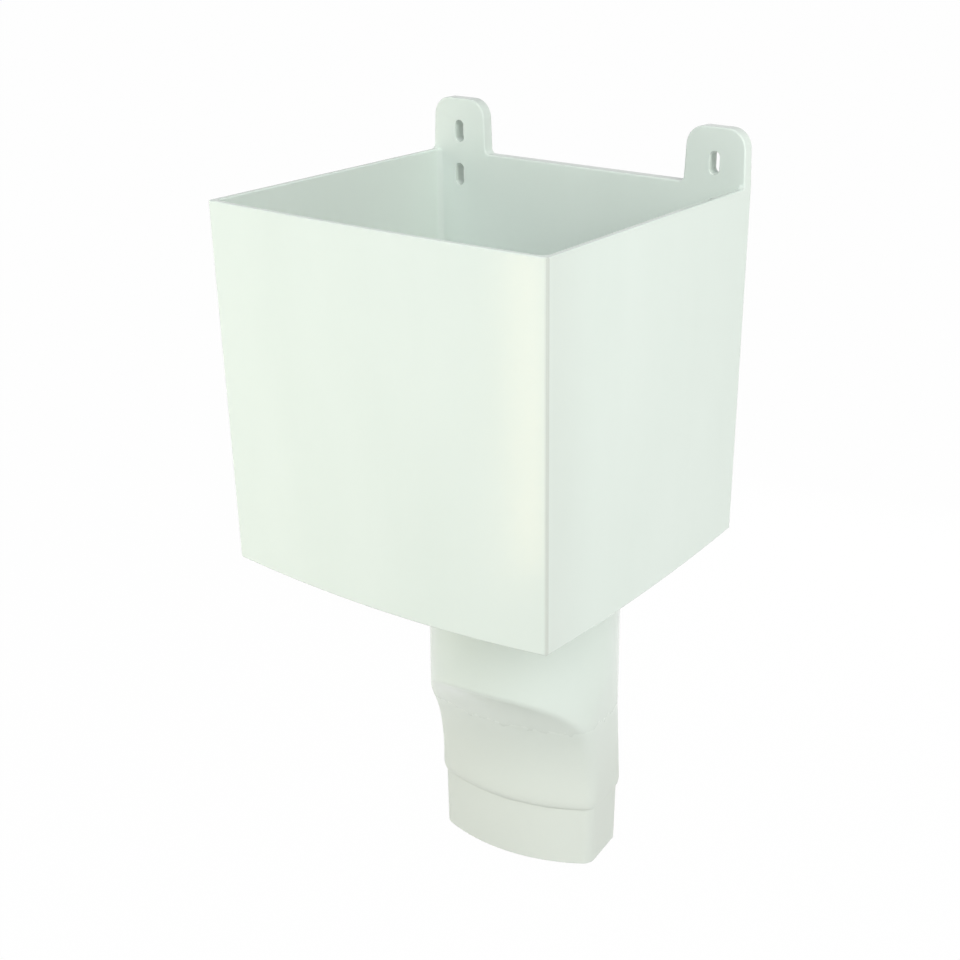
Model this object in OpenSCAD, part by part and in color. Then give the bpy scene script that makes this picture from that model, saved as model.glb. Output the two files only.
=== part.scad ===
// Downpipe hopper head: an open box on a back plate with two fixing ears,
// and an outlet that changes from round to a flat-backed oval spigot.
// The wall face is the plane y = 0, the front faces -y, and z = 0 is the
// height of the lower fixing slots.

/* [Box] */
// Width at the rim, outside
box_w = 200; // [170:1:260]
// Depth at the rim, from the wall face to the front corners
box_d = 188.6; // [160:0.1:240]
// Height from the rim to the bottom corners
box_h = 192.3; // [140:0.1:240]
// Thickness of the front and side walls
wall_t = 3.4; // [2.4:0.1:5]
// Thickness of the floor
floor_t = 3.4; // [2.4:0.1:5]
// Inward lean of each side wall over the height
side_draft = 1.4; // [0.2:0.1:5]
// Inward lean of the front panel over the height
front_draft = 4.4; // [0.2:0.1:10]
// Forward bow of the front panel between its corners
front_bow = 2.8; // [1:0.1:10]
// Drop of the floor's centre below the bottom corners
floor_dish = 6.6; // [1:0.1:10]
// Radius of the outer upright corners
corner_r = 1.6; // [0.6:0.1:4]
// Radius of the inner upright corners
inner_corner_r = 4; // [1:0.5:8]

/* [Back plate and ears] */
// Thickness of the back plate and its ears
plate_t = 8; // [5:0.5:12]
// Width of an ear at the rim
ear_w = 36; // [30:0.5:48]
// Height of an ear above the rim
ear_h = 29.8; // [26:0.2:45]
// Lean of each side of an ear over its height
ear_lean = 1.2; // [0.2:0.1:3]
// Radius of an ear's top corners
ear_top_r = 10.5; // [4:0.5:14]
// Radius of the fillet between an ear and the rim
ear_root_r = 2.5; // [1:0.5:5]

/* [Fixing slots] */
// Width of a slot
slot_w = 6.2; // [4:0.1:8]
// Length of a slot, end to end
slot_len = 12.6; // [9:0.1:16]
// Distance of the slots from the plate's side edge
slot_inset = 18.1; // [14:0.1:22]
// Height of the upper slots above the rim
slot_above_rim = 11.4; // [9.4:0.1:16]
// Depth of the lower slots below the rim
slot_below_rim = 13; // [10:0.1:30]

/* [Outlet, round part] */
// Outside diameter of the round part
pipe_d = 110; // [100:1:125]
// Wall of the round part and the oval body
outlet_wall = 4; // [2.4:0.1:5]
// Clearance between the round bore and the back plate's inner face
bore_gap = 0.2; // [0.2:0.1:15]
// Length from the box's bottom corners to the top of the scoops
round_len = 83; // [50:1:120]
// Turn of the oval about the outlet's axis
outlet_turn = 6.2; // [-10:0.1:10]

/* [Outlet, oval body] */
// Width of the oval body
oval_w = 104.4; // [90:0.1:108]
// Distance from the outlet's axis to the middle of the curved front
oval_front = 23.3; // [20:0.1:32]
// Distance from the outlet's axis to the flat back
oval_back = 27.7; // [20:0.1:32]
// Radius of the curved front
oval_front_r = 109.5; // [95:0.5:140]
// Radius of the oval's front corners
oval_corner_r = 10; // [7:0.5:14]
// Radius of the oval's back corners
oval_back_r = 6; // [6:0.5:12]
// Length from the top of the scoops to their foot
scoop_len = 73; // [60:1:95]
// Height of the scoops' foot above the shoulder
scoop_foot = 14; // [10:1:30]
// Depth below the top of the scoops at which the back corners leave the round
blend_top = 30; // [10:1:45]

/* [Outlet, spigot] */
// Step from the oval body in to the spigot
shoulder_step = 1.8; // [1:0.1:3]
// Height of the sloped edge of the shoulder
shoulder_h = 6; // [2:0.5:8]
// Length of the spigot below the shoulder
spigot_len = 38.2; // [20:0.1:80]
// Taper of the spigot on each side
spigot_draft = 0.6; // [0.2:0.1:1.5]
// Wall of the spigot at the shoulder
spigot_wall = 3.2; // [2.5:0.1:4]

/* [Hidden] */
body_colour = [0.88, 0.92, 0.88];

// Overshoot of a cut past the face it opens
over = 2;
// Thickness of the thin slices that a hull joins
slice_t = 0.01;
// Chords along a bowed or curved front, around a corner and down a scoop
front_steps = 28;
corner_steps = 6;
scoop_steps = 14;
dish_steps = 14;
// Sides of a full circle
pipe_sides = 128;
slot_sides = 48;
dish_sides = 96;
// Smallest corner radius that an inset leaves
sharp_r = 0.4;
// Power with which the flat sides run out towards the round
side_ease = 4;

// Heights along the part
rim_z = slot_below_rim;
bottom_z = rim_z - box_h;
scoop_top_z = bottom_z - round_len;
foot_z = scoop_top_z - scoop_len;
shoulder_z = foot_z - scoop_foot;
spigot_end_z = shoulder_z - spigot_len;

// Outlet axis, kept clear of the back plate by the bore's gap
pipe_r = pipe_d / 2;
bore_r = pipe_r - outlet_wall;
outlet_y = -(plate_t + bore_gap + bore_r);

// Floor dish: a shallow spherical cap through the four bottom corners
bottom_half_w = box_w / 2 - side_draft;
bottom_d = box_d - front_draft;
corner_reach = norm([bottom_half_w, bottom_d / 2]);
dish_r = (corner_reach ^ 2 + floor_dish ^ 2) / (2 * floor_dish);

// Radius of an arc from its chord's half length and its rise
function arc_radius(half_chord, rise) = (half_chord ^ 2 + rise ^ 2) / (2 * rise);

// Points of an arc about c, with the angle measured from -y towards +x
function arc(c, r, a0, a1, steps) =
    [for (i = [0:steps]) let (a = a0 + (a1 - a0) * i / steps) c + r * [sin(a), -cos(a)]];

// Plan shape with a curved front, straight sides and a flat back.
// The front arc is centred on [0, arc_y]; the front corners are tangent to it.
function d_plan(half_w, arc_r, arc_y, front_r, back_y, back_r) =
    let (
        cx = half_w - front_r,
        cy = arc_y - sqrt((arc_r - front_r) ^ 2 - cx ^ 2),
        meet = atan2(cx, arc_y - cy),
        bx = half_w - back_r,
        by = back_y - back_r
    )
    concat(
        arc([0, arc_y], arc_r, -meet, meet, front_steps),
        arc([cx, cy], front_r, meet, 90, corner_steps),
        arc([bx, by], back_r, 90, 180, corner_steps),
        arc([-bx, by], back_r, 180, 270, corner_steps),
        arc([-cx, cy], front_r, 270, 360 - meet, corner_steps)
    );

// Plan of the box at a height, drawn in by inset from the outside
function box_plan(z, inset, front_r, back_y, back_r) =
    let (
        lean = (rim_z - z) / box_h,
        half_w = box_w / 2 - side_draft * lean,
        front = box_d - front_draft * lean,
        bow_r = arc_radius(half_w, front_bow)
    )
    d_plan(half_w - inset, bow_r - inset, bow_r - front_bow - front, front_r, back_y, back_r);

// Outward offset of a scoop at a height above its foot: an arc that starts
// upright and has reached the depth at the scoop's top
function scoop_out(depth, up) =
    let (r = arc_radius(scoop_len, depth))
    r - sqrt(r ^ 2 - up ^ 2);

// Outward offset of the flat sides at a height above the foot
function side_out(up) = (pipe_r + over - oval_w / 2) * (up / scoop_len) ^ side_ease;

// Plan of the oval at a height above the scoops' foot, drawn in by inset
function oval_plan(inset, up = 0) =
    let (front = scoop_out(pipe_r - oval_front, up))
    d_plan(
        oval_w / 2 + side_out(up) - inset,
        oval_front_r + front - inset,
        oval_front_r - oval_front,
        max(oval_corner_r - inset, sharp_r),
        oval_back + scoop_out(pipe_r - oval_back, up) - inset,
        max(oval_back_r - inset, sharp_r)
    );

// Solid through a stack of plans that have the same number of points
module loft(plans, heights) {
    n = len(plans[0]);
    last = len(plans) - 1;
    polyhedron(
        points = [for (k = [0:last]) for (p = plans[k]) [p.x, p.y, heights[k]]],
        faces = concat(
            [[for (i = [0:n - 1]) i]],
            [[for (i = [n - 1:-1:0]) last * n + i]],
            [for (k = [0:last - 1]) for (i = [0:n - 1])
                [k * n + i, (k + 1) * n + i, (k + 1) * n + (i + 1) % n]],
            [for (k = [0:last - 1]) for (i = [0:n - 1])
                [k * n + i, (k + 1) * n + (i + 1) % n, k * n + (i + 1) % n]]
        )
    );
}

module thin_slice(z) {
    translate([0, 0, z]) linear_extrude(slice_t) children();
}

// Space between the floor's dish, raised by lift, and a height over the rim
module above_dish(lift) {
    reach = corner_reach + box_w;
    low = bottom_z - floor_dish + lift;
    translate([0, -box_d / 2, 0])
        rotate_extrude($fn = dish_sides)
            polygon(concat(
                [[0, rim_z + over], [reach, rim_z + over]],
                [for (i = [0:dish_steps]) let (x = reach * (1 - i / dish_steps))
                    [x, low + dish_r - sqrt(dish_r ^ 2 - x ^ 2)]]
            ));
}

module box_outside() {
    intersection() {
        hull() {
            thin_slice(rim_z - slice_t) polygon(box_plan(rim_z, 0, corner_r, 0, corner_r));
            thin_slice(bottom_z - floor_dish)
                polygon(box_plan(bottom_z - floor_dish, 0, corner_r, 0, corner_r));
        }
        above_dish(0);
    }
}

module box_inside() {
    top = rim_z + over;
    intersection() {
        hull() {
            thin_slice(top) polygon(box_plan(top, wall_t, inner_corner_r, -plate_t, inner_corner_r));
            thin_slice(bottom_z - floor_dish)
                polygon(box_plan(bottom_z - floor_dish, wall_t, inner_corner_r, -plate_t, inner_corner_r));
        }
        above_dish(floor_t);
    }
}

// Outline of one ear, seen from the front, with its outer side at x = 0
// and its base on the rim
function ear_outline() =
    let (
        side = atan2(ear_lean, ear_h),
        top_y = ear_h - ear_top_r,
        outer_x = ear_lean * top_y / ear_h + ear_top_r / cos(side),
        inner_x = ear_w - outer_x,
        root_x = ear_w + ear_root_r
    )
    concat(
        [[0, -ear_root_r], [root_x, -ear_root_r], [root_x, 0]],
        [for (i = [1:corner_steps]) let (a = 90 * i / corner_steps)
            [root_x - ear_root_r * sin(a), ear_root_r * (1 - cos(a))]],
        [for (i = [0:corner_steps]) let (a = side + (90 - side) * i / corner_steps)
            [inner_x + ear_top_r * cos(a), top_y + ear_top_r * sin(a)]],
        [for (i = [0:corner_steps]) let (a = 90 + (90 - side) * i / corner_steps)
            [outer_x + ear_top_r * cos(a), top_y + ear_top_r * sin(a)]],
        [[0, 0]]
    );

module ear() {
    translate([-box_w / 2, 0, rim_z])
        rotate([90, 0, 0])
            linear_extrude(plate_t)
                polygon(ear_outline());
}

// Upright slot through the plate, centred at a place on the wall face
module slot(x, z) {
    half = (slot_len - slot_w) / 2;
    translate([x, over, z])
        rotate([90, 0, 0])
            linear_extrude(plate_t + 2 * over)
                union() {
                    for (end = [-half, half]) translate([0, end]) circle(d = slot_w, $fn = slot_sides);
                    square([slot_w, 2 * half], center = true);
                }
}

module fixing_slots() {
    for (side = [-1, 1])
        for (z = [rim_z + slot_above_rim, rim_z - slot_below_rim])
            slot(side * (box_w / 2 - slot_inset), z);
}

// Space inside the scoops and the flat sides, from end_z to past top_z
module scoop_space(inset, top_z, end_z) {
    full = scoop_len + over;
    rise = [for (i = [0:scoop_steps]) full * i / scoop_steps];
    loft(
        concat([oval_plan(inset)], [for (up = rise) oval_plan(inset, up)], [oval_plan(inset, full)]),
        concat([end_z], [for (up = rise) foot_z + up], [top_z + over])
    );
}

// Round part, the change to the oval and the oval body down to end_z,
// drawn in by inset from the outside and starting at top_z
module outlet_form(inset, top_z, end_z) {
    blend_z = scoop_top_z - blend_top;
    intersection() {
        union() {
            translate([0, 0, blend_z])
                cylinder(r = pipe_r - inset, h = top_z - blend_z, $fn = pipe_sides);
            hull() {
                thin_slice(blend_z) circle(r = pipe_r - inset, $fn = pipe_sides);
                thin_slice(end_z) polygon(oval_plan(inset));
            }
        }
        scoop_space(inset, top_z, end_z);
    }
}

module outlet_outside() {
    spigot_top = shoulder_step;
    spigot_end = shoulder_step + spigot_draft;
    edge_z = shoulder_z + shoulder_h;
    outlet_form(0, bottom_z, edge_z);
    hull() {
        thin_slice(edge_z) polygon(oval_plan(0));
        thin_slice(shoulder_z) polygon(oval_plan(spigot_top));
    }
    hull() {
        thin_slice(shoulder_z) polygon(oval_plan(spigot_top));
        thin_slice(spigot_end_z) polygon(oval_plan(spigot_end));
    }
}

module outlet_inside() {
    ledge_z = shoulder_z + shoulder_h;
    outlet_form(outlet_wall, bottom_z + floor_t + over, ledge_z);
    translate([0, 0, spigot_end_z - over])
        linear_extrude(ledge_z - spigot_end_z + 2 * over)
            polygon(oval_plan(shoulder_step + spigot_wall));
}

module at_outlet() {
    translate([0, outlet_y, 0]) rotate([0, 0, outlet_turn]) children();
}

module hopper_head() {
    color(body_colour)
        difference() {
            union() {
                box_outside();
                ear();
                mirror([1, 0, 0]) ear();
                at_outlet() outlet_outside();
            }
            box_inside();
            at_outlet() outlet_inside();
            fixing_slots();
        }
}

hopper_head();
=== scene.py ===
import math

import bmesh
import bpy
import numpy as np
from mathutils import Euler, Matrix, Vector


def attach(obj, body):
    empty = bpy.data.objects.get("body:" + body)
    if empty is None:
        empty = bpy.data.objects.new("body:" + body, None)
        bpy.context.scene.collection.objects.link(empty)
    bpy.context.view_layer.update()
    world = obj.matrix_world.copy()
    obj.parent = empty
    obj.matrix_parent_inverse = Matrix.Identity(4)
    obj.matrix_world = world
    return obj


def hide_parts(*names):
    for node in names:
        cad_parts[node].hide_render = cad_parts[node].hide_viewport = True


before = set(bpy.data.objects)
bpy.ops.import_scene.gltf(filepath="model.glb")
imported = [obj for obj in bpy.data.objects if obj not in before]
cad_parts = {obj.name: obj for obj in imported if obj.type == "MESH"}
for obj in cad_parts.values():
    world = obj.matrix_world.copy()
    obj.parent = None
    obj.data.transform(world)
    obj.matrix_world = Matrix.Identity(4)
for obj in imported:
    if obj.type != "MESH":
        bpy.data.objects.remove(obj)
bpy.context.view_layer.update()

# Lengths of the moulding, in millimetres, as in the part's source.
BOX_W, BOX_D, BOX_H = 200.0, 188.6, 192.3
WALL, FLOOR = 3.4, 3.4
SIDE_DRAFT, FRONT_DRAFT = 1.4, 4.4
FRONT_BOW, FLOOR_DISH = 2.8, 6.6
CORNER_R, INNER_CORNER_R = 1.6, 4.0
PLATE, EAR_W, EAR_H = 8.0, 36.0, 29.8
EAR_LEAN, EAR_TOP_R, EAR_ROOT_R = 1.2, 10.5, 2.5
SLOT_W, SLOT_LEN, SLOT_INSET, SLOT_ABOVE_RIM = 6.2, 12.6, 18.1, 11.4
PIPE_R, OUTLET_WALL, OUTLET_TURN, OUTLET_Y = 55.0, 4.0, 6.2, -59.2
OVAL_W, OVAL_FRONT, OVAL_BACK = 104.4, 23.3, 27.7
OVAL_FRONT_R, OVAL_CORNER_R, OVAL_BACK_R = 109.5, 10.0, 6.0
SCOOP_LEN, BLEND_TOP, SIDE_SPARE, SIDE_EASE = 73.0, 30.0, 2.0, 4
SHOULDER_STEP, SHOULDER_H = 1.8, 6.0
SPIGOT_DRAFT, SPIGOT_WALL = 0.6, 3.2
RIM_Z, BOTTOM_Z, SCOOP_TOP_Z = 13.0, -179.3, -262.3
FOOT_Z, SHOULDER_Z, SPIGOT_END_Z = -335.3, -349.3, -387.5

# Small radii of the moulded edges, in millimetres.
RIM_R = 0.7
BOTTOM_R = 1.2
FLOOR_FILLET = 3.0
EAR_FRONT_R = 0.9
PLATE_BACK_R = 1.5
SLOT_EDGE_R = 0.15
THROAT_LIP_R = 2.0
SPIGOT_EDGE_R = 0.7
RIM_WEB_R = 2.5
# Least radius that a plan's corner keeps.
LEAST_R = 0.4
# Share of the floor fillet by which the inner corners tighten towards the floor.
CORNER_TIGHTEN = 0.9

# The ridges where the scoops meet the round outlet are softened by RIDGE_SOFT at most. That
# starts RIDGE_START above the shoulder's top and is full RIDGE_GROW higher. The scoops' cut
# opens out until it is SCOOP_CLEAR past their top.
RIDGE_SOFT, RIDGE_START, RIDGE_GROW = 2.4, 8, 30
SCOOP_CLEAR = 8.0

# The trough and the hollow both end inside the back plate, which is added to them. The trough
# is drawn in by FLUSH, so that none of its faces lies in a face of the plate.
TROUGH_BACK, HOLLOW_BACK, FLUSH = -6.4, -7.9, 0.01

# How far the solids that cut or join reach past the faces they meet, and how far the bore
# stays in front of the back plate.
HOLLOW_RISE = 6
WEB_SINK = 1.0
SLOT_PAST = 0.6
BORE_RISE, LIP_RISE, BORE_PAST = 12.0, 0.3, 3
PLATE_CLEAR = 0.05

# Full rings of the outlet and of its bore start at these heights. They lie close together from
# CLOSE_ABOVE over the scoops' top down to CLOSE_END_Z.
OUTLET_TOP_Z, BORE_TOP_Z = -192.0, -196.0
CLOSE_ABOVE, CLOSE_END_Z = 14, -310
ROUND_RINGS, CLOSE_RINGS, FOOT_RINGS = 6, 64, 20
# Height over which the bore narrows to the spigot's, from the shoulder's top down.
BORE_STEP_H = 4

# Chords along a bowed front, round a corner and along a flat side.
FRONT_STEPS, CORNER_STEPS, SIDE_STEPS = 40, 8, 24
# Points round each ring of the outlet, and along each chord of the plan that a ring follows.
TURNS, CHORD_POINTS = 288, 12

# The plate's points that lie DIP_LEAST or more under its bottom corners follow the dished
# floor, and points within SAME_PLACE of a face lie in it.
DIP_LEAST, SAME_PLACE = 0.01, 1e-4
# Points closer than MERGE become one, and edges sharper than CREASE degrees stay crisp.
MERGE, CREASE = 0.002, 32
# Metres in a millimetre.
MM = 0.001


def arc(x, y, r, start, end, steps):
    """Points on an arc, with its angle in degrees from the front towards the right."""
    turn = [math.radians(start + (end - start) * i / steps) for i in range(steps + 1)]
    return [(x + r * math.sin(a), y - r * math.cos(a)) for a in turn]


def line(start, end, steps):
    """Points on a line between two ends, with neither end."""
    return [tuple(a + (b - a) * i / steps for a, b in zip(start, end)) for i in range(1, steps)]


def d_plan(half_w, front_r, front_y, corner_r, back_y, back_r):
    """Plan with a bowed front, round front corners, flat sides and a flat back."""
    cx = half_w - corner_r
    cy = front_y - math.sqrt((front_r - corner_r) ** 2 - cx ** 2)
    meet = math.degrees(math.atan2(cx, front_y - cy))
    bx, by = half_w - back_r, back_y - back_r
    side = line((half_w, cy), (half_w, by), SIDE_STEPS)
    return (arc(0, front_y, front_r, -meet, meet, FRONT_STEPS)
            + arc(cx, cy, corner_r, meet, 90, CORNER_STEPS)[1:]
            + side
            + arc(bx, by, back_r, 90, 180, CORNER_STEPS)
            + line((bx, back_y), (-bx, back_y), SIDE_STEPS)
            + arc(-bx, by, back_r, 180, 270, CORNER_STEPS)
            + [(-x, y) for x, y in reversed(side)]
            + arc(-cx, cy, corner_r, 270, 360 - meet, CORNER_STEPS)[:-1])


def arc_radius(half_chord, rise):
    """Radius of an arc, from half its chord and its rise."""
    return (half_chord ** 2 + rise ** 2) / (2 * rise)


def box_plan(z, inset, corner_r, back_y, back_r):
    """Plan of the box at a height, drawn in by an inset."""
    lean = (RIM_Z - z) / BOX_H
    half_w = BOX_W / 2 - SIDE_DRAFT * lean
    front = BOX_D - FRONT_DRAFT * lean
    bow_r = arc_radius(half_w, FRONT_BOW)
    return d_plan(half_w - inset, bow_r - inset, bow_r - FRONT_BOW - front,
                  corner_r, back_y - inset, back_r)


# The floor is dished to a sphere that rises to the bottom's level at about its corners.
DISH_REACH = math.hypot(BOX_W / 2 - SIDE_DRAFT, (BOX_D - FRONT_DRAFT) / 2)
DISH_R = arc_radius(DISH_REACH, FLOOR_DISH)


def dish(x, y, lift=0.0):
    """Height of the dished floor, outside or lifted to its inside."""
    d2 = x ** 2 + (y + BOX_D / 2) ** 2
    return BOTTOM_Z - FLOOR_DISH + lift + DISH_R - math.sqrt(DISH_R ** 2 - d2)


def skin(rings):
    """A closed solid drawn through rings that have equal counts of points."""
    bm = bmesh.new()
    row = [bm.verts.new(p) for p in rings[0]]
    edges = [bm.edges.new(pair) for pair in zip(row, row[1:] + row[:1])]
    bmesh.ops.contextual_create(bm, geom=edges)
    for points in rings[1:]:
        grown = set(bmesh.ops.extrude_edge_only(bm, edges=edges)["geom"])
        row = [next(e.other_vert(v) for e in v.link_edges if e.other_vert(v) in grown)
               for v in row]
        for v, p in zip(row, points):
            v.co = p
        edges = [bm.edges.get(pair) for pair in zip(row, row[1:] + row[:1])]
    bmesh.ops.contextual_create(bm, geom=edges)
    bmesh.ops.recalc_face_normals(bm, faces=bm.faces[:])
    return bm


def solid(name, bm):
    """Turns a mesh in the making into an object of the scene."""
    mesh = bpy.data.meshes.new(name)
    bm.to_mesh(mesh)
    bm.free()
    piece = bpy.data.objects.new(name, mesh)
    bpy.context.scene.collection.objects.link(piece)
    return piece


def combine(piece, tool, operation):
    """Joins a tool solid to a piece or cuts it away, and keeps the result as its mesh."""
    step = piece.modifiers.new(operation.lower(), "BOOLEAN")
    step.operation = operation
    step.solver = "EXACT"
    step.object = tool
    graph = bpy.context.evaluated_depsgraph_get()
    made = bpy.data.meshes.new_from_object(piece.evaluated_get(graph))
    piece.modifiers.clear()
    before, piece.data = piece.data, made
    bpy.data.meshes.remove(before)
    spent = tool.data
    bpy.data.objects.remove(tool)
    bpy.data.meshes.remove(spent)


def quarter(steps):
    """Sine and cosine pairs over a quarter turn."""
    turn = [math.pi / 2 * i / steps for i in range(steps + 1)]
    return [(math.sin(a), math.cos(a)) for a in turn]


def toward_middle(points, lift):
    """Rings that carry a floor from its edge towards the middle of the box."""
    rings = []
    for share in (0.8, 0.6, 0.4, 0.2):
        ring = []
        for x, y, _ in points:
            px, py = x * share, -BOX_D / 2 + (y + BOX_D / 2) * share
            ring.append((px, py, dish(px, py, lift)))
        rings.append(ring)
    return rings


def trough():
    """Front and side walls with the dished floor, before the hollow is cut."""
    rings = []
    for s, c in quarter(steps=5):
        z = RIM_Z - RIM_R + RIM_R * c
        inset = FLUSH + RIM_R * (1 - s)
        plan = box_plan(z, inset, CORNER_R - inset, TROUGH_BACK, LEAST_R)
        rings.append([(x, y, z) for x, y in plan])
    for s, c in quarter(steps=6):
        inset = FLUSH + BOTTOM_R * (1 - c)
        rise = BOTTOM_R * (1 - s)
        plan = box_plan(BOTTOM_Z, inset, CORNER_R - inset, TROUGH_BACK, LEAST_R)
        rings.append([(x, y, dish(x, y) + rise) for x, y in plan])
    rings += toward_middle(rings[-1], 0)
    return solid("trough", skin(rings))


def hollow():
    """The space inside the box, with a rounded rim and a fillet round the floor."""
    rings = []
    for s, c in quarter(steps=5):
        z = RIM_Z - RIM_R * s
        plan = box_plan(z, WALL - RIM_R * c, INNER_CORNER_R, HOLLOW_BACK + WALL, INNER_CORNER_R)
        rings.append([(x, y, z) for x, y in plan])
    rings.insert(0, [(x, y, RIM_Z + HOLLOW_RISE) for x, y, _ in rings[0]])
    for s, c in quarter(steps=8):
        drawn = FLOOR_FILLET * (1 - c)
        corner = INNER_CORNER_R - CORNER_TIGHTEN * drawn
        plan = box_plan(BOTTOM_Z + FLOOR, WALL + drawn, corner, HOLLOW_BACK + WALL, corner)
        rings.append([(x, y, dish(x, y, FLOOR) + FLOOR_FILLET * (1 - s)) for x, y in plan])
    rings += toward_middle(rings[-1], FLOOR)
    return solid("hollow", skin(rings))


def plate_side():
    """Right half of the back plate's outline, from the bottom corner up round the ear."""
    low, side = BOX_W / 2 - SIDE_DRAFT, BOX_W / 2
    tilt = math.degrees(math.atan2(EAR_LEAN, EAR_H))
    ear_mid = RIM_Z + EAR_H - EAR_TOP_R
    drawn = EAR_LEAN * (EAR_H - EAR_TOP_R) / EAR_H + EAR_TOP_R / math.cos(math.radians(tilt))
    root = side - EAR_W - EAR_ROOT_R
    return (arc(low - BOTTOM_R, BOTTOM_Z + BOTTOM_R, BOTTOM_R, 0, 90, steps=5)
            + [(side, RIM_Z)]
            + arc(side - drawn, ear_mid, EAR_TOP_R, 90 + tilt, 180, steps=14)
            + arc(side - EAR_W + drawn, ear_mid, EAR_TOP_R, 180, 270 - tilt, steps=14)
            + arc(root, RIM_Z + EAR_ROOT_R, EAR_ROOT_R, 90, 0, steps=6))


def back_plate():
    """The thick back plate with both ears, rounded along its front and back outlines."""
    side = plate_side()
    reach = side[0][0]
    bm = bmesh.new()
    row = [bm.verts.new((x, -PLATE, dish(x, -PLATE)))
           for x, _ in line((-reach, 0), (reach, 0), SIDE_STEPS)]
    row += [bm.verts.new((x, -PLATE, z)) for x, z in side]
    row += [bm.verts.new((-x, -PLATE, z)) for x, z in reversed(side)]
    face = bm.faces.new(row)
    grown = bmesh.ops.extrude_face_region(bm, geom=[face])["geom"]
    wall_side = [g for g in grown if isinstance(g, bmesh.types.BMVert)]
    bmesh.ops.translate(bm, vec=(0, PLATE, 0), verts=wall_side)
    for v in wall_side:
        if v.co.z < BOTTOM_Z - DIP_LEAST:
            v.co.z = dish(v.co.x, 0)
    bmesh.ops.recalc_face_normals(bm, faces=bm.faces[:])
    for y, r, steps in ((-PLATE, EAR_FRONT_R, 4), (0.0, PLATE_BACK_R, 5)):
        rim = [e for e in bm.edges if all(abs(v.co.y - y) < SAME_PLACE for v in e.verts)]
        bmesh.ops.bevel(bm, geom=rim, offset=r, offset_type="OFFSET", affect="EDGES",
                        segments=steps, profile=0.5, material=-1, clamp_overlap=True)
    return solid("back_plate", bm)


def rim_web(side):
    """The small hollow fillet that runs from a side wall's rim up the face of its ear."""
    deep = -PLATE - RIM_WEB_R
    high = RIM_Z + RIM_WEB_R
    curve = [(deep + RIM_WEB_R * s, high - RIM_WEB_R * c) for s, c in quarter(steps=6)]
    low, back = RIM_Z - WEB_SINK, -PLATE + WEB_SINK
    outline = [(deep, low)] + curve + [(back, high), (back, low)]
    inner, outer = BOX_W / 2 - WALL + RIM_R / 2, BOX_W / 2 - RIM_R / 2
    rings = [[(side * x, y, z) for y, z in outline] for x in (inner, outer)]
    return solid("rim_web", skin(rings))


def slot_punch(x, z):
    """A round-ended slot through the plate, at its full width where it opens at both faces."""
    half = (SLOT_LEN - SLOT_W) / 2
    rings = []
    stations = [(SLOT_PAST, SLOT_EDGE_R)]
    for s, _ in quarter(steps=4):
        stations.append((-SLOT_EDGE_R * s, SLOT_EDGE_R * (1 - s)))
    front = [(-PLATE - y, grow) for y, grow in reversed(stations)]
    for y, grow in stations + front:
        r = SLOT_W / 2 - SLOT_EDGE_R + grow
        plan = arc(0, -half, r, -90, 90, steps=16) + arc(0, half, r, 90, 270, steps=16)
        rings.append([(x + px, y, z + pz) for px, pz in plan])
    return solid("slot_punch", skin(rings))


# Angles of a ring's points, from the outlet's front towards its right.
ANGLES = np.linspace(0, 2 * math.pi, TURNS, endpoint=False)


def reach_round(plan):
    """Distance from the outlet's axis to a plan's outline, at each of the turns."""
    pts = np.array(plan + plan[:1])
    fine = np.concatenate([np.linspace(a, b, CHORD_POINTS, endpoint=False)
                           for a, b in zip(pts[:-1], pts[1:])])
    angle = np.arctan2(fine[:, 0], -fine[:, 1]) % (2 * math.pi)
    order = np.argsort(angle)
    return np.interp(ANGLES, angle[order], np.hypot(fine[:, 0], fine[:, 1])[order],
                     period=2 * math.pi)


def scoop_out(depth, up):
    """How far a scoop of a given depth has opened out at a height above its foot."""
    r = arc_radius(SCOOP_LEN, depth)
    return r - math.sqrt(r ** 2 - up ** 2)


def oval_reach(inset, up=0.0):
    """Reach of the oval, opened out by the scoops at a height above their foot."""
    side = (PIPE_R + SIDE_SPARE - OVAL_W / 2) * (up / SCOOP_LEN) ** SIDE_EASE
    front = scoop_out(PIPE_R - OVAL_FRONT, up)
    back = scoop_out(PIPE_R - OVAL_BACK, up)
    return reach_round(d_plan(OVAL_W / 2 + side - inset, OVAL_FRONT_R + front - inset,
                              OVAL_FRONT_R - OVAL_FRONT, max(OVAL_CORNER_R - inset, LEAST_R),
                              OVAL_BACK + back - inset, max(OVAL_BACK_R - inset, LEAST_R)))


def outlet_reach(z, inset):
    """Reach of the outlet at a height: round above, scooped to the oval below."""
    foot = SHOULDER_Z + SHOULDER_H
    blend = SCOOP_TOP_Z - BLEND_TOP
    share = min(max((z - foot) / (blend - foot), 0.0), 1.0)
    body = oval_reach(inset) * (1 - share) + (PIPE_R - inset) * share
    cut = oval_reach(inset, min(max(z - FOOT_Z, 0.0), SCOOP_LEN + SCOOP_CLEAR))
    soft = RIDGE_SOFT * min(max((z - foot - RIDGE_START) / RIDGE_GROW, 0.0), 1.0)
    if soft == 0:
        return np.minimum(body, cut)
    near = np.maximum(soft - np.abs(body - cut), 0) / soft
    return np.minimum(body, cut) - near ** 2 * soft / 4


def outlet_ring(reach, z):
    """A ring round the turned outlet axis, at one height or a height for each turn."""
    turned = ANGLES + math.radians(OUTLET_TURN)
    xs, ys = reach * np.sin(turned), OUTLET_Y - reach * np.cos(turned)
    return [(float(x), float(y), float(h)) for x, y, h in zip(xs, ys, np.broadcast_to(z, TURNS))]


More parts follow.
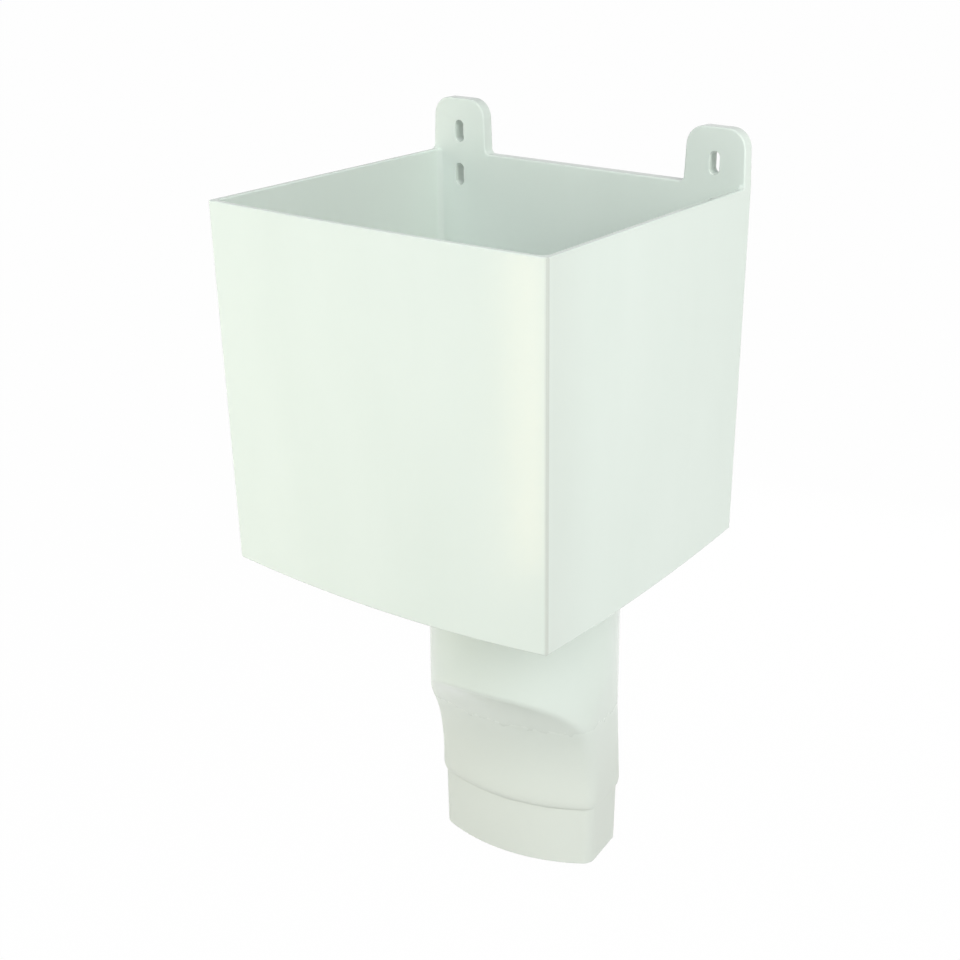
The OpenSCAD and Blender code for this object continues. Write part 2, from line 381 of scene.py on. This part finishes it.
def outlet_heights(top):
    """Heights down the outlet, close together where the scoops cut the round part."""
    close, foot = SCOOP_TOP_Z + CLOSE_ABOVE, SHOULDER_Z + SHOULDER_H
    return np.concatenate([np.linspace(top, close, ROUND_RINGS, endpoint=False),
                           np.linspace(close, CLOSE_END_Z, CLOSE_RINGS, endpoint=False),
                           np.linspace(CLOSE_END_Z, foot, FOOT_RINGS, endpoint=False)])


def outlet_body():
    """Outside of the outlet, its shoulder and the spigot."""
    top = outlet_ring(np.full(TURNS, PIPE_R), 0)
    rings = [[(x, y, dish(x, y, FLOOR / 2)) for x, y, _ in top]]
    rings += [outlet_ring(outlet_reach(z, 0), z) for z in outlet_heights(OUTLET_TOP_Z)]
    for s, c in quarter(steps=8):
        inset = SHOULDER_STEP * (1 - c)
        rings.append(outlet_ring(oval_reach(inset), SHOULDER_Z + SHOULDER_H * (1 - s)))
    low = SPIGOT_END_Z + SPIGOT_EDGE_R
    for share in (0.02, 0.25, 0.5, 0.75):
        z = SHOULDER_Z + (low - SHOULDER_Z) * share
        rings.append(outlet_ring(oval_reach(SHOULDER_STEP + SPIGOT_DRAFT * share), z))
    end = SHOULDER_STEP + SPIGOT_DRAFT
    for s, c in quarter(steps=5):
        reach = oval_reach(end + SPIGOT_EDGE_R * (1 - c))
        rings.append(outlet_ring(reach, low - SPIGOT_EDGE_R * s))
    return solid("outlet_body", skin(rings))


def outlet_bore():
    """The water way, with a rounded lip at the floor and at the spigot's end."""
    bore = PIPE_R - OUTLET_WALL
    wide = np.full(TURNS, bore + THROAT_LIP_R)

    def at_floor(reach, rise):
        """A ring that follows the floor's inside, in front of the back plate."""
        ring = []
        for x, y, _ in outlet_ring(reach, 0):
            y = min(y, -PLATE - PLATE_CLEAR)
            ring.append((x, y, dish(x, y, FLOOR) + rise))
        return ring

    rings = [at_floor(wide, BORE_RISE), at_floor(wide, LIP_RISE)]
    for s, c in quarter(steps=6):
        reach = np.full(TURNS, bore + THROAT_LIP_R * (1 - s))
        rings.append(at_floor(reach, -THROAT_LIP_R * (1 - c)))
    for z in outlet_heights(BORE_TOP_Z)[::2]:
        rings.append(outlet_ring(outlet_reach(z, OUTLET_WALL), z))
    inside = SHOULDER_STEP + SPIGOT_WALL
    for share in (0.0, 0.25, 0.5, 0.75, 1.0):
        inset = OUTLET_WALL + (inside - OUTLET_WALL) * share
        z = SHOULDER_Z + SHOULDER_H - BORE_STEP_H * share
        rings.append(outlet_ring(oval_reach(inset), z))
    for s, c in quarter(steps=4):
        z = SPIGOT_END_Z + SPIGOT_EDGE_R * (1 - s)
        rings.append(outlet_ring(oval_reach(inside - SPIGOT_EDGE_R * (1 - c)), z))
    rings.append(outlet_ring(oval_reach(inside - SPIGOT_EDGE_R), SPIGOT_END_Z - BORE_PAST))
    return solid("outlet_bore", skin(rings))


def moulded_hopper():
    """The whole hopper head as one closed moulding, in metres."""
    piece = trough()
    combine(piece, hollow(), "DIFFERENCE")
    combine(piece, back_plate(), "UNION")
    for side in (-1, 1):
        combine(piece, rim_web(side), "UNION")
    combine(piece, outlet_body(), "UNION")
    combine(piece, outlet_bore(), "DIFFERENCE")
    for side in (-1, 1):
        for z in (RIM_Z + SLOT_ABOVE_RIM, 0.0):
            combine(piece, slot_punch(side * (BOX_W / 2 - SLOT_INSET), z), "DIFFERENCE")
    bm = bmesh.new()
    bm.from_mesh(piece.data)
    bmesh.ops.remove_doubles(bm, verts=bm.verts[:], dist=MERGE)
    bmesh.ops.scale(bm, vec=(MM, MM, MM), verts=bm.verts[:])
    bmesh.ops.recalc_face_normals(bm, faces=bm.faces[:])
    bm.to_mesh(piece.data)
    bm.free()
    piece.name = piece.data.name = "moulded_hopper"
    piece.data.shade_smooth()
    piece.data.set_sharp_from_angle(angle=math.radians(CREASE))
    even = piece.modifiers.new("even_shading", "WEIGHTED_NORMAL")
    even.mode = "FACE_AREA"
    even.weight = 50
    even.keep_sharp = True
    return piece


def reckon(tree, operation, *terms):
    """A maths node whose terms are numbers or other nodes' outputs."""
    node = tree.nodes.new("ShaderNodeMath")
    node.operation = operation
    for socket, term in zip(node.inputs, terms):
        if isinstance(term, (int, float)):
            socket.default_value = term
        else:
            tree.links.new(term, socket)
    return node.outputs[0]


def fade(tree, distance, clear, full, most):
    """Mask that grows softly from nothing at one distance to its most at another."""
    node = tree.nodes.new("ShaderNodeMapRange")
    node.interpolation_type = "SMOOTHSTEP"
    node.inputs["From Min"].default_value = clear
    node.inputs["From Max"].default_value = full
    node.inputs["To Max"].default_value = most
    tree.links.new(distance, node.inputs["Value"])
    return node.outputs["Result"]


# Painted shade on the right front corner, in metres. Its band is full up to SHADE_FULL from the
# front and from a line
# SHADE_SHIFT outside the side wall, and gone at SHADE_CLEAR. On the wall a weaker painted shade,
# WALL_MOST at the corner, fades out over WALL_LEN and goes no deeper than WALL_CLEAR.
SHADE_SHIFT, SHADE_FULL, SHADE_CLEAR = 0.0006, 0.0013, 0.0018
WALL_MOST, WALL_LEN, WALL_CLEAR = 0.26, 0.045, 0.0019
# The outlet grows greyer and less glossy from one height down to another, in metres.
DULL_FROM_Z, DULL_TO_Z, DULL_MOST, DULL_ROUGHNESS = -0.240, -0.355, 0.85, 0.35
# Linear colours: two tints of the flow marks, the greyer spigot and the painted shade of the
# corner.
FLOW_DEEP, FLOW_PALE = (0.735, 0.815, 0.757, 1), (0.758, 0.835, 0.779, 1)
SPIGOT_GREY, CORNER_SHADE_GREY = (0.690, 0.732, 0.675, 1), (0.590, 0.632, 0.580, 1)


def painted_corner_shade(tree, x, y, z):
    """Mask of the painted shade on the right front corner: a narrow band that fades along the
    side wall.
    """
    side_lean, front_lean = SIDE_DRAFT / BOX_H, FRONT_DRAFT / BOX_H
    side = reckon(tree, "MULTIPLY_ADD", z, side_lean, (BOX_W / 2 - side_lean * RIM_Z) * MM)
    front = reckon(tree, "MULTIPLY_ADD", z, front_lean, (BOX_D - front_lean * RIM_Z) * MM)
    from_side = reckon(tree, "SUBTRACT", side, x)
    inset = reckon(tree, "ADD", from_side, SHADE_SHIFT)
    from_front = reckon(tree, "ADD", front, y)
    inward = reckon(tree, "MAXIMUM", inset, from_front)
    band = fade(tree, inward, SHADE_CLEAR, SHADE_FULL, 1.0)
    on_wall = fade(tree, from_side, WALL_CLEAR, SHADE_FULL, WALL_MOST)
    along = fade(tree, from_front, WALL_LEN, 0.0, 1.0)
    return reckon(tree, "MAXIMUM", band, reckon(tree, "MULTIPLY", on_wall, along))


def pale_pvc():
    """Pale PVC with a faint green tint, soft flow marks, a satin moulded skin and painted shade
    on its right front corner.
    """
    mat = bpy.data.materials.new("pale_pvc")
    mat.use_nodes = True
    tree = mat.node_tree
    nodes, links = tree.nodes, tree.links
    skin_shader = nodes["Principled BSDF"]
    place = nodes.new("ShaderNodeTexCoord")

    drawn = nodes.new("ShaderNodeMapping")
    drawn.inputs["Scale"].default_value = (1.0, 1.0, 0.25)
    links.new(place.outputs["Object"], drawn.inputs["Vector"])
    flow = nodes.new("ShaderNodeTexNoise")
    flow.inputs["Scale"].default_value = 22.0
    flow.inputs["Detail"].default_value = 4.0
    links.new(drawn.outputs["Vector"], flow.inputs["Vector"])

    tint = nodes.new("ShaderNodeValToRGB")
    tint.color_ramp.elements[0].position = 0.3
    tint.color_ramp.elements[0].color = FLOW_DEEP
    tint.color_ramp.elements[1].position = 0.7
    tint.color_ramp.elements[1].color = FLOW_PALE
    links.new(flow.outputs["Fac"], tint.inputs["Fac"])

    axes = nodes.new("ShaderNodeSeparateXYZ")
    links.new(place.outputs["Object"], axes.inputs["Vector"])
    x, y, z = (axes.outputs[n] for n in "XYZ")
    down_outlet = fade(tree, z, DULL_FROM_Z, DULL_TO_Z, DULL_MOST)
    # The outlet's colour grows darker and greyer towards the bottom.
    greyer_below = nodes.new("ShaderNodeMix")
    greyer_below.data_type = "RGBA"
    greyer_below.inputs["B"].default_value = SPIGOT_GREY
    links.new(down_outlet, greyer_below.inputs["Factor"])
    links.new(tint.outputs["Color"], greyer_below.inputs["A"])
    # The right front corner and the side wall next to it are darkened with painted shade.
    painted_shade_mix = nodes.new("ShaderNodeMix")
    painted_shade_mix.data_type = "RGBA"
    painted_shade_mix.inputs["B"].default_value = CORNER_SHADE_GREY
    links.new(painted_corner_shade(tree, x, y, z), painted_shade_mix.inputs["Factor"])
    links.new(greyer_below.outputs["Result"], painted_shade_mix.inputs["A"])
    links.new(painted_shade_mix.outputs["Result"], skin_shader.inputs["Base Color"])

    grain = nodes.new("ShaderNodeTexNoise")
    grain.inputs["Scale"].default_value = 160.0
    grain.inputs["Detail"].default_value = 3.0
    links.new(place.outputs["Object"], grain.inputs["Vector"])
    satin = nodes.new("ShaderNodeMapRange")
    satin.inputs["To Min"].default_value = 0.12
    satin.inputs["To Max"].default_value = 0.18
    links.new(grain.outputs["Fac"], satin.inputs["Value"])
    roughness = reckon(tree, "MULTIPLY_ADD", down_outlet, DULL_ROUGHNESS,
                       satin.outputs["Result"])
    links.new(roughness, skin_shader.inputs["Roughness"])

    peel = nodes.new("ShaderNodeTexNoise")
    peel.inputs["Scale"].default_value = 1400.0
    peel.inputs["Detail"].default_value = 2.0
    links.new(place.outputs["Object"], peel.inputs["Vector"])
    skin_bump = nodes.new("ShaderNodeBump")
    skin_bump.inputs["Strength"].default_value = 0.06
    skin_bump.inputs["Distance"].default_value = 0.0002
    links.new(peel.outputs["Fac"], skin_bump.inputs["Height"])
    links.new(skin_bump.outputs["Normal"], skin_shader.inputs["Normal"])
    skin_shader.inputs["IOR"].default_value = 1.46
    return mat


def shown_white(tree, lit, white, share):
    """Shows a share of white to the camera and in reflections, and a lit shader to other rays."""
    path = tree.nodes.new("ShaderNodeLightPath")
    seen = reckon(tree, "MAXIMUM", path.outputs["Is Camera Ray"], path.outputs["Is Glossy Ray"])
    seen = reckon(tree, "MAXIMUM", seen, path.outputs["Is Transmission Ray"])
    mix = tree.nodes.new("ShaderNodeMixShader")
    tree.links.new(reckon(tree, "MULTIPLY", seen, share), mix.inputs[0])
    tree.links.new(lit.outputs[0], mix.inputs[1])
    tree.links.new(white.outputs[0], mix.inputs[2])
    return mix


# Half the side of the studio floor in metres, its paper, and how much of it shows as pure white.
FLOOR_REACH, PAPER, FLOOR_WHITE = 12.0, (0.9, 0.9, 0.9, 1), 0.99


def studio_floor(z):
    """A white paper floor that lights the part from below and is clear from underneath."""
    bm = bmesh.new()
    bmesh.ops.create_grid(bm, x_segments=1, y_segments=1, size=FLOOR_REACH)
    bmesh.ops.translate(bm, vec=(0, 0, z), verts=bm.verts[:])
    floor = solid("studio_floor", bm)
    mat = bpy.data.materials.new("studio_white")
    mat.use_nodes = True
    tree = mat.node_tree
    nodes, links = tree.nodes, tree.links
    nodes.remove(nodes["Principled BSDF"])
    paper = nodes.new("ShaderNodeBsdfDiffuse")
    paper.inputs["Color"].default_value = PAPER
    white = nodes.new("ShaderNodeEmission")
    mix = shown_white(tree, paper, white, FLOOR_WHITE)
    below = nodes.new("ShaderNodeBsdfTransparent")
    facing = nodes.new("ShaderNodeNewGeometry")
    sided = nodes.new("ShaderNodeMixShader")
    links.new(facing.outputs["Backfacing"], sided.inputs[0])
    links.new(mix.outputs[0], sided.inputs[1])
    links.new(below.outputs[0], sided.inputs[2])
    links.new(sided.outputs[0], nodes["Material Output"].inputs["Surface"])
    floor.data.materials.append(mat)


def studio_world(ambient):
    """White surroundings that give only a little light of their own."""
    world = bpy.data.worlds.new("studio")
    bpy.context.scene.world = world
    world.use_nodes = True
    tree = world.node_tree
    nodes, links = tree.nodes, tree.links
    soft = nodes["Background"]
    soft.inputs["Color"].default_value = (1, 1, 1, 1)
    soft.inputs["Strength"].default_value = ambient
    white = nodes.new("ShaderNodeBackground")
    white.inputs["Color"].default_value = (1, 1, 1, 1)
    mix = shown_white(tree, soft, white, 1.0)
    links.new(mix.outputs[0], nodes["World Output"].inputs["Surface"])


def softbox(name, place, aim, width, height, watts, colour, mirrored=False):
    """A soft area lamp that faces a point and may show in the gloss or not."""
    lamp = bpy.data.lights.new(name, "AREA")
    lamp.shape = "RECTANGLE"
    lamp.size, lamp.size_y = width, height
    lamp.energy = watts
    lamp.color = colour
    holder = bpy.data.objects.new(name, lamp)
    holder.location = place
    holder.rotation_euler = (Vector(aim) - Vector(place)).to_track_quat("-Z", "Y").to_euler()
    holder.visible_glossy = mirrored
    bpy.context.scene.collection.objects.link(holder)


def photo_camera():
    """The photograph's viewpoint in the part's own frame, from a fit to its outlines."""
    lens = bpy.data.cameras.new("photo_camera")
    lens.lens = 58.8733
    lens.sensor_width = 36.0
    lens.sensor_fit = "HORIZONTAL"
    lens.shift_x = -0.0734375
    lens.shift_y = 0.00052
    lens.clip_start = 0.01
    camera = bpy.data.objects.new("photo_camera", lens)
    camera.location = (0.461451, -0.729183, 0.173053)
    camera.rotation_euler = Euler([math.radians(a) for a in (68.1170, -0.5608, 33.7996)])
    bpy.context.scene.collection.objects.link(camera)
    bpy.context.scene.camera = camera


photo_camera()
hopper = moulded_hopper()
hopper.data.materials.clear()
hopper.data.materials.append(pale_pvc())
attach(hopper, "root")
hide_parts("hopper_head")

studio_floor(z=-0.75)
studio_world(ambient=0.05)

# Each lamp has a place, an aim, a width and a height in metres, then watts and a colour.
MIDDLE = (0.0, -0.1, -0.15)
WARM, NEUTRAL, COOL = (1.0, 0.985, 0.875), (1.0, 1.0, 0.98), (0.98, 1.0, 1.04)
AMBER = (1.0, 0.74, 0.40)
softbox("front_high", (0.1, -1.4, 0.9), MIDDLE, 1.0, 1.0, 11.9, COOL)
softbox("right_front", (1.1, -0.6, 0.7), MIDDLE, 0.8, 0.8, 10.4, NEUTRAL)
softbox("right_wall", (1.2, -0.15, 0.38), MIDDLE, 0.8, 0.8, 3.9, NEUTRAL)
softbox("right_low", (1.1, 0.25, -0.3), MIDDLE, 0.8, 0.6, 2.3, NEUTRAL)
softbox("front_left", (-0.6, -1.3, 0.2), MIDDLE, 0.6, 0.6, 2.1, WARM)
softbox("left_near", (-0.36, -0.65, -0.11), MIDDLE, 0.3, 0.48, 1.19, WARM)
softbox("left_side", (-1.2, -0.2, -0.15), MIDDLE, 0.6, 0.6, 2.3, NEUTRAL)
softbox("behind", (-0.25, 1.45, -0.15), MIDDLE, 0.9, 0.9, 10.0, NEUTRAL)
# The strip is the only lamp that shows in the gloss, as a warm streak by the right front corner.
softbox("low_strip", (-0.23, -0.763, -0.305), (0.09, -0.189, -0.08), 0.035, 0.31, 0.165,
        AMBER, mirrored=True)

bpy.context.scene.view_settings.view_transform = "Standard"
